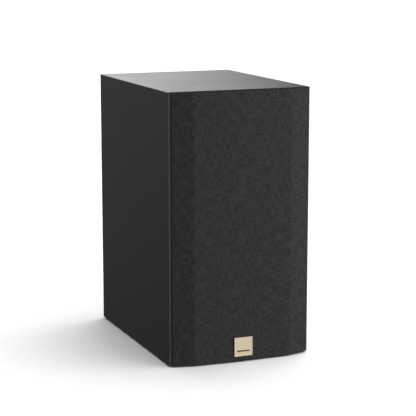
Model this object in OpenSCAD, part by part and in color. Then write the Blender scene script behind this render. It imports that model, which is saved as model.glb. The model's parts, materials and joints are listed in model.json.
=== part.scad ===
// Two-way bookshelf speaker with a cloth grille, a rear reflex port and screw terminals.
// Frame: +X to the speaker's right-hand side as seen from the front, -Y to the listener, +Z up.
// The origin is on the shelf, under the middle of the whole object.

/* [Cabinet] */
// Width of the cabinet
cabinet_w = 195; // [193:1:220]
// Height of the cabinet without its feet
cabinet_h = 350; // [346:1:400]
// Depth from the baffle's face to the rear panel's face
cabinet_d = 270; // [262:1:320]
// Thickness of the wrapped panels and the rear panel
panel_t = 15; // [14:1:18]
// Thickness of the baffle
baffle_t = 20; // [18:1:24]
// Radius of the baffle's upright front edges
side_edge_r = 3; // [1:0.5:4]
// Radius of the baffle's level front edges
level_edge_r = 1.6; // [0.8:0.2:3]
// Radius of the four folded edges that run from front to back
fold_r = 0.8; // [0.4:0.2:1.2]
// Height of the stick-on feet
foot_h = 1.5; // [1:0.5:3]
// Radius of the stick-on feet
foot_r = 7; // [5:1:9]

/* [Grille] */
// Gap from the cabinet's side to the grille's side
grille_side_gap = 2.5; // [2:0.5:4]
// Gap from the cabinet's top to the grille's top
grille_level_gap = 0.5; // [0.4:0.1:1]
// How far the grille's upright edges stand in front of the baffle
grille_edge_d = 3; // [2.8:0.1:4]
// Distance from the cabinet's side to the crease where the slope ends
grille_crease_x = 30.5; // [26:0.5:36]
// How far the crease stands in front of the baffle
grille_crease_d = 10; // [9.5:0.5:12]
// How far the middle of the bowed face stands in front of the baffle
grille_bow_d = 12; // [11.5:0.5:15]
// Thickness of the cloth
cloth_t = 0.8; // [0.6:0.1:1]
// Side of the square badge
badge_side = 25; // [15:1:30]

/* [Drivers] */
// Radius of the woofer's mounting flange
woofer_r = 83; // [82:1:84]
// Height of the woofer's axis above the cabinet's bottom
woofer_z = 116; // [112:1:120]
// Woofer cone travel, each way
woofer_travel = 5; // [2:0.5:5]
// Radius of the tweeter's faceplate
tweeter_r = 52; // [50:1:53]
// Height of the tweeter's axis above the cabinet's bottom
tweeter_z = 263; // [260:1:268]

/* [Port and terminals] */
// Inner radius of the reflex port
port_r = 25; // [20:1:27]
// Length of the reflex port
port_len = 130; // [90:5:140]
// Height of the port's axis above the cabinet's bottom
port_z = 262; // [258:1:280]
// Height of the terminals above the cabinet's bottom
terminal_z = 84; // [80:1:90]
// Distance between the two binding posts
post_pitch = 38; // [34:1:40]
// How far the closed knobs stand behind the rear panel
knob_proud = 14; // [10:1:18]

/* [Hidden] */
$fn = 96;

// Planes of the cabinet
badge_t = 1;
grille_proud = grille_bow_d + badge_t;
total_d = grille_proud + cabinet_d + knob_proud;
front_y = grille_proud - total_d / 2;
back_y = front_y + cabinet_d;
floor_z = foot_h;
roof_z = foot_h + cabinet_h;
half_w = cabinet_w / 2;
inner_half_w = half_w - panel_t;
inside_y = front_y + baffle_t;
overlap = 1;

// Heights of the axes
woofer_axis_z = floor_z + woofer_z;
tweeter_axis_z = floor_z + tweeter_z;
port_axis_z = floor_z + port_z;
terminal_axis_z = floor_z + terminal_z;

// Grille pegs
peg_x = half_w - 11;
peg_zs = [floor_z + 17, floor_z + 205, roof_z - 15];
peg_r = 3;
peg_len = 9;
socket_r = 5;
socket_depth = 11;
socket_bore_r = 3.05;
grille_gap = 0.4;
hem_t = 0.5;
hem_w = 9;
rail_w = 17;
bottom_rail_w = 31;
crossbar_w = 16;
bow_steps = 16;
badge_z = floor_z + 19;

// Woofer, measured from the baffle's face into the cabinet
trim_t = 1.5;
flange_t = 3;
gasket_t = 1;
woofer_rebate = trim_t + flange_t + gasket_t;
woofer_cut_r = 73;
trim_inner_r = 69.5;
woofer_screw_n = 8;
woofer_screw_circle_r = 78;
surround_mid_r = 64;
surround_roll_r = 5.2;
rubber_t = 0.6;
lip_z = 2.4;
cone_r = 60;
cone_rim_z = lip_z + rubber_t / 2;
neck_z = 30;
cone_t = 0.9;
former_r = 16;
former_t = 0.4;
coil_t = 0.9;
coil_overhang = woofer_travel;
spider_z = 36;
spider_outer_r = 44;
spider_waves = 6;
spider_t = 0.5;
gap = 0.3;
ledge_z = spider_z + spider_t + gap;
basket_back_z = 50;
top_plate_t = 6;
woofer_magnet_r = 50;
woofer_magnet_t = 18;
woofer_plate_r = 43;
pole_r = 15.4;
pole_vent_r = 5;
gap_r = 17.8;
spoke_n = 6;
woofer_magnet_z = basket_back_z + top_plate_t;
woofer_yoke_z = woofer_magnet_z + woofer_magnet_t;

// Tweeter, measured from the baffle's face into the cabinet
faceplate_t = 5;
tweeter_gasket_t = 1;
tweeter_cut_r = 41;
tweeter_screw_circle_r = 46.5;
dome_r = 14;
dome_rim_z = 5;
dome_rise = 4.6;
dome_t = 0.35;
throat_r = 18.2;
tweeter_plate_z = 8;
tweeter_plate_t = 3;
tweeter_magnet_t = 12;
tweeter_magnet_r = 36;
tweeter_magnet_z = tweeter_plate_z + tweeter_plate_t;
tweeter_yoke_z = tweeter_magnet_z + tweeter_magnet_t;
tweeter_pole_r = 13.3;
tweeter_gap_r = 14.7;

// Solder lugs on both drivers
lug_x = 8;
lug_w = 5;
lug_len = 8;
lug_t = 0.8;
strip_t = 1.8;
strip_r = 52.1;
woofer_lug_z = 40;
tweeter_lug_z = 24;

// Terminal cup, measured outwards from the rear panel's face
cup_w = 112;
cup_h = 76;
well_w = 92;
well_h = 56;
well_wall = 2.5;
well_corner_r = 4;
cup_flange_t = 2.5;
cup_gasket_t = 1;
cup_screw_in = 5;
well_floor_z = knob_proud - 34;
post_r = 4;
banana_r = 2;
banana_depth = 17;
collar_t = 4;
collar_r = 9.5;
washer_t = 1.5;
washer_r = 7.5;
knob_r = 9;
thread_clearance = 0.1;
flute_n = 16;

// Crossover on the bottom panel
board_w = 124;
board_d = 92;
board_t = 1.6;
board_y = front_y + 112;
standoff_h = 8;
board_top_z = floor_z + panel_t + standoff_h + board_t;
board_hole_x = board_w / 2 - 6;
board_hole_y = board_d / 2 - 6;
fixing_r = 1.5;

// ---------------------------------------------------------------- helpers

// Local +Z points into the cabinet, from the baffle's face
module from_front(z) translate([0, front_y, z]) rotate([-90, 0, 0]) children();

// Local +Z points out of the rear panel's face, and local -Y points up
module from_back(x, z) translate([x, back_y, z]) rotate([-90, 0, 0]) children();

module disc(r, z0, z1) translate([0, 0, z0]) cylinder(r = r, h = z1 - z0);

module ring(outer, inner, z0, z1) difference() {
    disc(outer, z0, z1);
    disc(inner, z0 - overlap, z1 + overlap);
}

module around(n, r, start = 0) for (i = [0 : n - 1])
    rotate([0, 0, start + 360 * i / n]) translate([r, 0, 0]) children();

// A plate with round corners, centred on the local Z axis
module round_plate(w, h, r, z0, z1) {
    translate([-w / 2 + r, -h / 2, z0]) cube([w - 2 * r, h, z1 - z0]);
    translate([-w / 2, -h / 2 + r, z0]) cube([w, h - 2 * r, z1 - z0]);
    for (x = [-1, 1], y = [-1, 1]) translate([x * (w / 2 - r), y * (h / 2 - r), 0]) disc(r, z0, z1);
}

// What a round edge of radius r takes away. The corner is at the local origin, the solid on its +X +Y side
module edge_waste(r, length) difference() {
    translate([-overlap, -overlap, 0]) cube([r + overlap, r + overlap, length]);
    translate([r, r, -overlap]) cylinder(r = r, h = length + 2 * overlap);
}

// The waste of the four folds, from the front to the back
module fold_waste() for (side = [0, 1], level = [0, 1])
    translate([side ? half_w : -half_w, front_y - overlap, level ? roof_z : floor_z])
        mirror([side, 0, 0]) mirror([0, 0, level]) rotate([90, 0, 0]) mirror([0, 0, 1])
            edge_waste(fold_r, cabinet_d + 2 * overlap);

// A screw with its head's top at the local origin, pointing along +Z
module screw(head_r, head_h, shank_r, length) {
    difference() {
        disc(head_r, 0, head_h);
        disc(head_r * 0.45, -overlap, head_h * 0.6, $fn = 6);
    }
    disc(shank_r, head_h, length);
}

// Points of a smooth curve through a list of points, steps for each span
function spline_point(a, b, c, d, t) = 0.5 * (2 * b + (c - a) * t + (2 * a - 5 * b + 4 * c - d) * t * t
    + (3 * b - a - 3 * c + d) * t * t * t);
function smooth_path(points, steps) = let (last = len(points) - 1) [
    for (i = [0 : last - 1], s = [0 : steps - 1])
        spline_point(points[max(i - 1, 0)], points[i], points[i + 1], points[min(i + 2, last)], s / steps),
    points[last]
];
function unit(v) = v / norm(v);
function heading(path, i) = unit(path[min(i + 1, len(path) - 1)] - path[max(i - 1, 0)]);
function across(v) = unit(cross(v, abs(v.z) < 0.8 ? [0, 0, 1] : [1, 0, 0]));
// Carries the first ring's direction along the path, so that the tube never twists
function carried(path, i) = i == 0 ? across(heading(path, 0))
    : let (h = heading(path, i), before = carried(path, i - 1)) unit(before - h * (before * h));

module tube(points, r, steps = 5, sides = 8) {
    path = smooth_path(points, steps);
    last = len(path) - 1;
    rings = [for (i = [0 : last]) let (h = heading(path, i), u = carried(path, i), v = cross(h, u))
        for (k = [0 : sides - 1]) path[i] + r * (cos(360 * k / sides) * u + sin(360 * k / sides) * v)];
    walls = [for (i = [0 : last - 1], k = [0 : sides - 1]) let (n = (k + 1) % sides)
        [i * sides + k, i * sides + n, (i + 1) * sides + n, (i + 1) * sides + k]];
    start = [for (k = [sides - 1 : -1 : 0]) k];
    end = [for (k = [0 : sides - 1]) last * sides + k];
    polyhedron(rings, [for (f = concat([start, end], walls)) [for (k = [len(f) - 1 : -1 : 0]) f[k]]]);
}

// ---------------------------------------------------------------- cabinet

module woofer_screw_places() around(woofer_screw_n, woofer_screw_circle_r, 22.5) children();
module tweeter_screw_places() around(4, tweeter_screw_circle_r, 45) children();
module peg_places() for (x = [-peg_x, peg_x], z = peg_zs)
    translate([x, front_y, z]) rotate([-90, 0, 0]) children();
module terminal_screw_places() for (x = [-1, 1], y = [-1, 1])
    translate([x * (cup_w / 2 - cup_screw_in), y * (cup_h / 2 - cup_screw_in), 0]) children();
module board_hole_places() for (x = [-board_hole_x, board_hole_x], y = [-board_hole_y, board_hole_y])
    translate([x, board_y + board_d / 2 + y, 0]) children();

module baffle() color("#1c1c1c") difference() {
    translate([-half_w, front_y, floor_z]) cube([cabinet_w, baffle_t, cabinet_h]);
    for (side = [0, 1]) mirror([side, 0, 0]) translate([-half_w, front_y, floor_z - overlap])
        edge_waste(side_edge_r, cabinet_h + 2 * overlap);
    for (level = [0, 1]) translate([-half_w - overlap, front_y, level ? roof_z : floor_z])
        mirror([0, 0, level]) rotate([90, 0, 90]) edge_waste(level_edge_r, cabinet_w + 2 * overlap);
    fold_waste();
    from_front(woofer_axis_z) {
        disc(woofer_r + 0.3, -overlap, woofer_rebate);
        disc(woofer_cut_r, -overlap, baffle_t + overlap);
        woofer_screw_places() disc(2, 0, baffle_t - 2);
    }
    from_front(tweeter_axis_z) {
        disc(tweeter_r + 0.3, -overlap, faceplate_t + tweeter_gasket_t);
        disc(tweeter_cut_r, -overlap, baffle_t + overlap);
        tweeter_screw_places() disc(1.75, 0, baffle_t - 2);
    }
    peg_places() disc(socket_r, -overlap, socket_depth);
}

// A panel of the folded wrap, with mitred ends.
// Its outline lies in the X-Z plane and is carried from the baffle to the back
module wrap_panel(outline) difference() {
    translate([0, inside_y, 0]) rotate([90, 0, 0]) mirror([0, 0, 1])
        linear_extrude(cabinet_d - baffle_t) polygon(outline);
    fold_waste();
}

module side_panel(side) wrap_panel([
    [side * half_w, floor_z], [side * half_w, roof_z],
    [side * inner_half_w, roof_z - panel_t], [side * inner_half_w, floor_z + panel_t],
]);

module level_panel(outer, inner) wrap_panel([
    [-half_w, outer], [half_w, outer], [inner_half_w, inner], [-inner_half_w, inner],
]);

module side_panel_left() color("#262626") side_panel(-1);
module side_panel_right() color("#262626") side_panel(1);
module top_panel() color("#262626") level_panel(roof_z, roof_z - panel_t);
module bottom_panel() color("#262626") difference() {
    level_panel(floor_z, floor_z + panel_t);
    board_hole_places() disc(fixing_r, floor_z + panel_t - 8, floor_z + panel_t + overlap);
}

module rear_panel() color("#1c1c1c") difference() {
    translate([-inner_half_w, back_y - panel_t, floor_z + panel_t])
        cube([2 * inner_half_w, panel_t, cabinet_h - 2 * panel_t]);
    from_back(0, port_axis_z) disc(port_r + 12.5, -panel_t - overlap, overlap);
    from_back(0, terminal_axis_z) {
        round_plate(well_w + 2 * well_wall + 1, well_h + 2 * well_wall + 1, 6, -panel_t - overlap, overlap);
        terminal_screw_places() disc(1.75, -12, overlap);
    }
}

shelf_z = floor_z + 203;
shelf_t = 12;
module shelf_brace() color("#8a6b48") difference() {
    translate([-inner_half_w, inside_y, shelf_z])
        cube([2 * inner_half_w, cabinet_d - baffle_t - panel_t, shelf_t]);
    translate([0, inside_y + 32, shelf_z]) {
        translate([-55, 55, -overlap]) cube([110, 62, shelf_t + 2 * overlap]);
        for (y = [55, 117]) translate([0, y, 0]) disc(55, -overlap, shelf_t + overlap);
    }
}

pad_t = 14;
module damping_pads() color("#d8d8d2") for (side = [-1, 1])
    translate([side * (inner_half_w - pad_t / 2) - pad_t / 2, front_y + 92, floor_z + panel_t + 2])
        cube([pad_t, 145, shelf_z - floor_z - panel_t - 6]);

module rubber_feet() color("#101010") for (x = [-1, 1], y = [front_y + 16, back_y - 16])
    translate([x * (half_w - 16), y, 0]) cylinder(r1 = foot_r - 0.5, r2 = foot_r, h = foot_h);

module grille_sockets() color("#111111") peg_places() ring(socket_r, socket_bore_r, 0, socket_depth);

module port_tube() color("#171717") from_back(0, port_axis_z) {
    outer_flare = 12;
    inner_flare = 8;
    wall = 2.5;
    lip = 2.5;
    rotate_extrude() {
        translate([port_r + outer_flare, 0]) square([6, lip]);
        translate([port_r + outer_flare, lip - outer_flare]) intersection() {
            difference() {
                circle(r = outer_flare);
                circle(r = outer_flare - wall);
            }
            translate([-outer_flare, 0]) square(outer_flare);
        }
        translate([port_r, lip - port_len + inner_flare])
            square([wall, port_len - outer_flare - inner_flare]);
        translate([port_r + inner_flare, lip - port_len + inner_flare]) intersection() {
            difference() {
                circle(r = inner_flare);
                circle(r = inner_flare - wall);
            }
            translate([-inner_flare, -inner_flare]) square(inner_flare);
        }
    }
}

// ---------------------------------------------------------------- woofer

// A cast basket: flange, six windows in the conical wall, the spider's ledge and the seat of the motor
module woofer_basket() color("#2a2c2e") from_front(woofer_axis_z) difference() {
    rotate_extrude() polygon([
        [woofer_cut_r - 1.5, trim_t], [woofer_r, trim_t], [woofer_r, trim_t + flange_t],
        [woofer_cut_r - 1, trim_t + flange_t], [woofer_cut_r - 1, 9], [52, 33], [52, 38], [43, 47.5],
        [43, basket_back_z], [26, basket_back_z], [26, basket_back_z - 3], [39, basket_back_z - 3],
        [46, ledge_z + 2.7], [spider_outer_r - 2.5, ledge_z + 2.7], [spider_outer_r - 2.5, ledge_z],
        [48, ledge_z], [48, 33.5],
        [woofer_cut_r - 4.5, 9.4], [woofer_cut_r - 4.5, lip_z + rubber_t / 2 + gap],
        [woofer_cut_r - 1.5, lip_z + rubber_t / 2 + gap],
    ]);
    around(spoke_n, 61, 30) translate([0, 0, 21]) rotate([0, -40, 0]) cube([30, 46, 20], center = true);
    woofer_screw_places() disc(2, 0, woofer_rebate);
}

module woofer_mounting_gasket() color("#3a3a3a") from_front(woofer_axis_z) difference() {
    ring(woofer_r - 0.5, woofer_cut_r + 0.5, trim_t + flange_t, woofer_rebate);
    woofer_screw_places() disc(2, 0, woofer_rebate + overlap);
}

module woofer_trim_ring() color("#141414") from_front(woofer_axis_z) difference() {
    ring(woofer_r, trim_inner_r, -0.6, trim_t);
    rotate_extrude() polygon([[trim_inner_r - 1, -2], [trim_inner_r + 2.2, -2], [trim_inner_r - 1, 1.2]]);
    woofer_screw_places() disc(3.9, -2, trim_t + overlap);
}

module woofer_screws() color("#202020") from_front(woofer_axis_z)
    woofer_screw_places() translate([0, 0, -0.9]) screw(3.5, 2.4, 1.95, 17);

module woofer_top_plate() color("#9a9a98") from_front(woofer_axis_z)
    ring(woofer_plate_r - 1, gap_r, basket_back_z, woofer_magnet_z);

module woofer_magnet() color("#303030") from_front(woofer_axis_z)
    ring(woofer_magnet_r, 22, woofer_magnet_z, woofer_yoke_z);

module woofer_yoke() color("#9a9a98") from_front(woofer_axis_z) difference() {
    union() {
        disc(woofer_plate_r - 1, woofer_yoke_z, woofer_yoke_z + top_plate_t);
        disc(pole_r, basket_back_z - 1, woofer_yoke_z);
    }
    disc(pole_vent_r, 0, woofer_yoke_z + top_plate_t + overlap);
}

// The cone and the flat land at its rim, which the surround's lip is glued to
module woofer_cone() color("#1a1a1c") from_front(woofer_axis_z) rotate_extrude() polygon([
    [cone_r, cone_rim_z], [cone_r, cone_rim_z + cone_t], [cone_r - 3, cone_rim_z + cone_t],
    [46, 12.2 + cone_t], [32, 21.6 + cone_t],
    [former_r + former_t, neck_z + cone_t], [former_r + former_t, neck_z],
    [32, 21.6], [46, 12.2], [cone_r - 3.2, cone_rim_z],
]);

cap_base_r = 23;
cap_base_z = 26.2;
cap_rise = 8;
cap_sphere_r = (cap_base_r * cap_base_r + cap_rise * cap_rise) / (2 * cap_rise);
module woofer_dust_cap() color("#151517") from_front(woofer_axis_z) intersection() {
    translate([0, 0, cap_base_z - cap_rise + cap_sphere_r]) difference() {
        sphere(r = cap_sphere_r);
        sphere(r = cap_sphere_r - 0.8);
    }
    disc(cap_base_r, 0, cap_base_z);
}

module woofer_coil_former() color("#c9a24a") from_front(woofer_axis_z)
    ring(former_r + former_t, former_r, neck_z - 2, basket_back_z + 12);

module woofer_voice_coil() color("#b5651d") from_front(woofer_axis_z)
    ring(
        former_r + former_t + coil_t, former_r + former_t,
        basket_back_z - coil_overhang, woofer_magnet_z + coil_overhang
    );

// Half a roll and its two lips, bulging to the front
module roll_profile(mid_r, roll_r, t, z, inner_r, outer_r) {
    translate([mid_r, z]) intersection() {
        difference() {
            circle(r = roll_r + t / 2);
            circle(r = roll_r - t / 2);
        }
        translate([-2 * roll_r, -2 * roll_r]) square([4 * roll_r, 2 * roll_r]);
    }
    translate([inner_r, z - t / 2]) square([mid_r - roll_r + t / 2 - inner_r, t]);
    translate([mid_r + roll_r - t / 2, z - t / 2]) square([outer_r - mid_r - roll_r + t / 2, t]);
}

module woofer_surround() color("#0e0e0e") from_front(woofer_axis_z)
    rotate_extrude() roll_profile(surround_mid_r, surround_roll_r, rubber_t, lip_z, cone_r - 2.6, 71.3);

// A pleated ring from the coil former to the basket's ledge
spider_start_r = former_r + former_t;
spider_step = (spider_outer_r - spider_start_r - 5) / (2 * spider_waves);
function spider_edge(z) = [
    [spider_start_r, z],
    for (i = [0 : 2 * spider_waves]) [spider_start_r + 2 + i * spider_step, z + (i % 2 == 0 ? 0 : -2.2)],
    [spider_outer_r, z],
];
module woofer_spider() color("#c8b070") from_front(woofer_axis_z) rotate_extrude() polygon(concat(
    spider_edge(spider_z),
    [for (i = [2 * spider_waves + 2 : -1 : 0]) spider_edge(spider_z + spider_t)[i]]
));

// From the lugs outside the basket, forward, in through a window and down to the coil former
module woofer_tinsel_leads() color("#b98a5a") from_front(woofer_axis_z) for (side = [-1, 1]) tube([
    [side * lug_x, -58, woofer_lug_z - 0.1], [side * lug_x, -58, 34],
    [side * lug_x, -58, 25], [side * lug_x, -46, 24],
    [side * 7, -34, 28], [side * 5, -24, 31], [side * 3.5, -17.2, 33],
], 0.6);

// ---------------------------------------------------------------- tweeter

module tweeter_faceplate() color("#1b1b1b") from_front(tweeter_axis_z) difference() {
    union() {
        disc(tweeter_r, 0, faceplate_t);
        disc(tweeter_magnet_r + 1, 0, tweeter_plate_z);
    }
    disc(16.4, -overlap, tweeter_plate_z + overlap);
    disc(throat_r, -overlap, dome_rim_z + gap);
    translate([0, 0, -0.01]) cylinder(r1 = 35, r2 = throat_r, h = 3.6);
    tweeter_screw_places() {
        disc(1.8, -overlap, faceplate_t + overlap);
        disc(3.4, -overlap, 2.6);
    }
}

module tweeter_gasket() color("#3a3a3a") from_front(tweeter_axis_z) difference() {
    ring(tweeter_r - 0.5, tweeter_cut_r + 0.5, faceplate_t, faceplate_t + tweeter_gasket_t);
    tweeter_screw_places() disc(1.8, 0, faceplate_t + 2);
}

module tweeter_screws() color("#202020") from_front(tweeter_axis_z)
    tweeter_screw_places() translate([0, 0, 0.4]) screw(3.1, 2.2, 1.7, 16);

module tweeter_top_plate() color("#9a9a98") from_front(tweeter_axis_z)
    ring(tweeter_magnet_r - 2, tweeter_gap_r, tweeter_plate_z, tweeter_magnet_z);

module tweeter_magnet() color("#303030") from_front(tweeter_axis_z)
    ring(tweeter_magnet_r, 20, tweeter_magnet_z, tweeter_yoke_z);

module tweeter_yoke() color("#9a9a98") from_front(tweeter_axis_z) difference() {
    union() {
        disc(tweeter_magnet_r - 2, tweeter_yoke_z, tweeter_yoke_z + 4);
        disc(tweeter_pole_r, tweeter_plate_z, tweeter_yoke_z);
    }
    disc(5, 0, tweeter_yoke_z + 4 + overlap);
}

module tweeter_rear_chamber() color("#242424") from_front(tweeter_axis_z) difference() {
    disc(27, tweeter_yoke_z + 4, tweeter_yoke_z + 22);
    disc(25, tweeter_yoke_z + 3, tweeter_yoke_z + 20);
}

dome_sphere_r = (dome_r * dome_r + dome_rise * dome_rise) / (2 * dome_rise);
module tweeter_dome() color("#111114") from_front(tweeter_axis_z) intersection() {
    translate([0, 0, dome_rim_z - dome_rise + dome_sphere_r]) difference() {
        sphere(r = dome_sphere_r);
        sphere(r = dome_sphere_r - dome_t);
    }
    disc(dome_r, 0, dome_rim_z);
}

module tweeter_surround() color("#0c0c0c") from_front(tweeter_axis_z) rotate_extrude() {
    translate([15.7, dome_rim_z]) intersection() {
        difference() {
            circle(r = 1.7);
            circle(r = 1.4);
        }
        translate([-2, -2]) square([4, 2]);
    }
    translate([17.1, dome_rim_z - 0.3]) square([0.8, 0.3]);
}

module tweeter_voice_coil() color("#b5651d") from_front(tweeter_axis_z)
    ring(14.3, 13.7, dome_rim_z, tweeter_magnet_z + 0.6);

// Insulating strips with two solder lugs: one outside the woofer's basket, one under the tweeter's magnet
module driver_terminals() color("#c9c2a0") {
    from_front(woofer_axis_z) {
        translate([-16, -strip_r - strip_t, ledge_z - 3]) cube([32, strip_t, 12]);
        for (side = [-1, 1])
            translate([side * lug_x - lug_w / 2, -strip_r - strip_t - lug_len, woofer_lug_z])
            cube([lug_w, lug_len, lug_t]);
    }
    from_front(tweeter_axis_z) {
        translate([-11, tweeter_magnet_r + 0.5, tweeter_plate_z]) cube([22, strip_t, 20]);
        for (side = [-1, 1])
            translate([side * lug_x - lug_w / 2, tweeter_magnet_r + 0.5 + strip_t, tweeter_lug_z])
            cube([lug_w, lug_len, lug_t]);
    }
}

// ---------------------------------------------------------------- terminals

module terminal_cup() color("#161616") from_back(0, terminal_axis_z) difference() {
    union() {
        round_plate(cup_w, cup_h, 6, cup_gasket_t, cup_gasket_t + cup_flange_t);
        round_plate(well_w + 2 * well_wall, well_h + 2 * well_wall, well_corner_r + 1.5,
            well_floor_z - well_wall, cup_gasket_t + 1);
    }
    round_plate(well_w, well_h, well_corner_r, well_floor_z, cup_gasket_t + cup_flange_t + overlap);
    for (side = [-1, 1])
        translate([side * post_pitch / 2, 0, 0]) disc(post_r, well_floor_z - 5, well_floor_z + 1);
    terminal_screw_places() {
        disc(1.8, 0, 10);
        disc(3.4, cup_gasket_t + 1.3, 10);
    }
}

module terminal_gasket() color("#3a3a3a") from_back(0, terminal_axis_z) difference() {
    round_plate(cup_w - 2, cup_h - 2, 5, 0, cup_gasket_t);
    round_plate(well_w + 2 * well_wall + 1, well_h + 2 * well_wall + 1, 6, -overlap, cup_gasket_t + overlap);
    terminal_screw_places() disc(1.8, -overlap, 3);
}

module terminal_screws() color("#202020") from_back(0, terminal_axis_z) terminal_screw_places()
    translate([0, 0, cup_gasket_t + 3.3]) mirror([0, 0, 1]) screw(3.1, 2, 1.7, 14);

module at_post(side)
    from_back(side * post_pitch / 2, terminal_axis_z) translate([0, 0, well_floor_z]) children();

// Threaded stud with a socket for a plug in its end and a cross hole for bare wire
module post(side) at_post(side) difference() {
    disc(post_r, -well_wall - 11, 26);
    disc(banana_r, 26 - banana_depth, 26 + overlap);
    translate([0, 0, collar_t + 2.4]) rotate([90, 0, 0])
        cylinder(r = 1.6, h = 3 * post_r, center = true);
}
module post_positive() color("#caa64c") post(1);
module post_negative() color("#caa64c") post(-1);

module collar(side) at_post(side) difference() {
    disc(collar_r, 0, collar_t);
    disc(post_r, -overlap, collar_t + overlap);
    ring(collar_r + overlap, collar_r - 1, collar_t - 1, collar_t + overlap);
}
module collar_positive() color("#a01818") collar(1);
module collar_negative() color("#141414") collar(-1);

// A solder tag and the nut that holds it, on the inner end of each post
module post_nuts() color("#caa64c") for (side = [-1, 1]) at_post(side) {
    difference() {
        union() {
            disc(7, -well_wall - 0.8, -well_wall);
            translate([-3, 0, -well_wall - 0.8]) cube([6, 16, 0.8]);
        }
        disc(post_r, -10, 0);
    }
    difference() {
        disc(7, -well_wall - 6, -well_wall - 0.8, $fn = 6);
        disc(post_r, -10, 0);
    }
}

module clamp_washer(side) at_post(side)
    ring(washer_r, post_r + thread_clearance, collar_t + 0.3, collar_t + 0.3 + washer_t);
module clamp_washer_positive() color("#caa64c") clamp_washer(1);
module clamp_washer_negative() color("#caa64c") clamp_washer(-1);

// A fluted knob with a screw thread inside and a hole in its end for the plug
knob_end_z = knob_proud - well_floor_z;
knob_foot_z = collar_t + 0.6 + washer_t;
knob_mouth_r = post_r - 0.2;
knob_lip_t = 3;
knob_chamfer = 1.2;
flute_r = 0.9;
groove_w = 1.5;
groove_d = 0.6;
module knob(side) at_post(side) difference() {
    disc(knob_r, knob_foot_z, knob_end_z);
    disc(post_r + thread_clearance, 0, knob_end_z - knob_lip_t);
    disc(knob_mouth_r, 0, knob_end_z + overlap);
    around(flute_n, knob_r + 0.3) disc(flute_r, knob_foot_z + 3, knob_end_z - 5);
    translate([0, 0, knob_end_z - 4]) ring(knob_r + overlap, knob_r - groove_d, 0, groove_w);
    rotate_extrude() polygon([
        [knob_r - knob_chamfer, knob_end_z + 0.01], [knob_r + 1, knob_end_z + 0.01],
        [knob_r + 1, knob_end_z - knob_chamfer - 1],
    ]);
}
module knob_positive() color("#a01818") knob(1);
module knob_negative() color("#181818") knob(-1);

// ---------------------------------------------------------------- crossover and wiring

module crossover_board() color("#24402c") difference() {
    translate([-board_w / 2, board_y, board_top_z - board_t]) cube([board_w, board_d, board_t]);
    board_hole_places() disc(fixing_r + 0.1, 0, board_top_z + overlap);
}

module crossover_fixings() color("#b0b0a8") board_hole_places() {
    ring(3.5, fixing_r + 0.1, floor_z + panel_t, board_top_z - board_t);
    translate([0, 0, board_top_z + 1.6]) mirror([0, 0, 1]) screw(3, 1.6, fixing_r, 18);
}

winding_r = 20.5;
core_side = 18;
core_len = 54;
module at_woofer_inductor()
    translate([-22, board_y + 62, board_top_z + winding_r]) rotate([90, 0, 0]) children();
module woofer_inductor_core() color("#5a5a5c") at_woofer_inductor()
    cube([core_side, core_side, core_len], center = true);

module woofer_inductor_winding() color("#a85a20") at_woofer_inductor() difference() {
    disc(winding_r, -18, 18);
    cube([core_side, core_side, core_len], center = true);
}

module tweeter_inductor() color("#a85a20")
    translate([34, board_y + 66, board_top_z]) ring(19, 9, 0, 15);

module capacitor(x, y, r, length) translate([x, y, board_top_z + r]) {
    rotate([0, 90, 0]) cylinder(r = r, h = length, center = true);
    for (end = [-1, 1]) translate([end * (length / 2 + 3), 0, -r]) cylinder(r = 0.6, h = r + 0.6);
    for (end = [0, 1])
        mirror([end, 0, 0]) translate([length / 2, 0, 0]) rotate([0, 90, 0]) cylinder(r = 0.6, h = 3.6);
}
module capacitors() color("#c8b23c") {
    capacitor(34, board_y + 14, 9, 34);
    capacitor(34, board_y + 35, 8, 32);
    capacitor(-6, board_y + 12, 7, 22);
}

module resistors() color("#e6e2d6") for (i = [0 : 2])
    translate([-55 + 12 * i, board_y + 12, board_top_z]) cube([9, 26 - 6 * i, 9]);

wire_r = 1.3;
board_pad_y = board_y + board_d - 3;
tag_y = back_y + well_floor_z - well_wall - 0.8;
module wiring(side) {
    // From the post's tag to the board
    tube([
        [side * post_pitch / 2, tag_y - 0.1, terminal_axis_z - 13],
        [side * post_pitch / 2, tag_y - 6, terminal_axis_z - 13],
        [side * 14, tag_y - 16, terminal_axis_z - 28], [side * 6, board_pad_y + 8, board_top_z + 14],
        [side * 3, board_pad_y, board_top_z + wire_r],
    ], wire_r);
    // From the board to the woofer's lug
    tube([
        [side * 2.5 - 3, board_y + 30, board_top_z + wire_r], [side * 3, board_y + 27, board_top_z + 14],
        [side * 4, board_y + 8, board_top_z + 26], [side * 4, board_y - 6, board_top_z + 32],
        [side * 3, front_y + 98, woofer_axis_z - 8], [side * 12, front_y + 96, woofer_axis_z + 46],
        [side * 14, front_y + 66, woofer_axis_z + 66],
        [side * lug_x, front_y + woofer_lug_z + 7, woofer_axis_z + 59],
        [side * lug_x, front_y + woofer_lug_z + lug_t + 0.1, woofer_axis_z + 59],
    ], wire_r);
    // From the board to the tweeter's lug
    tube([
        [side * 3 + 8, board_y + 44, board_top_z + wire_r], [side * 3 + 8, board_y + 50, board_top_z + 14],
        [side * 4, board_y + 50, board_top_z + 50], [side * 5, board_y + 34, woofer_axis_z + 60],
        [side * 6, board_y + 4, tweeter_axis_z - 58], [side * 7, front_y + 60, tweeter_axis_z - 44],
        [side * lug_x, front_y + tweeter_lug_z + 7, tweeter_axis_z - tweeter_magnet_r - 6],
        [side * lug_x, front_y + tweeter_lug_z + lug_t + 0.1, tweeter_axis_z - tweeter_magnet_r - 6],
    ], wire_r);
}
module wiring_positive() color("#b01c1c") wiring(1);
module wiring_negative() color("#161616") wiring(-1);

// ---------------------------------------------------------------- grille

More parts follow.
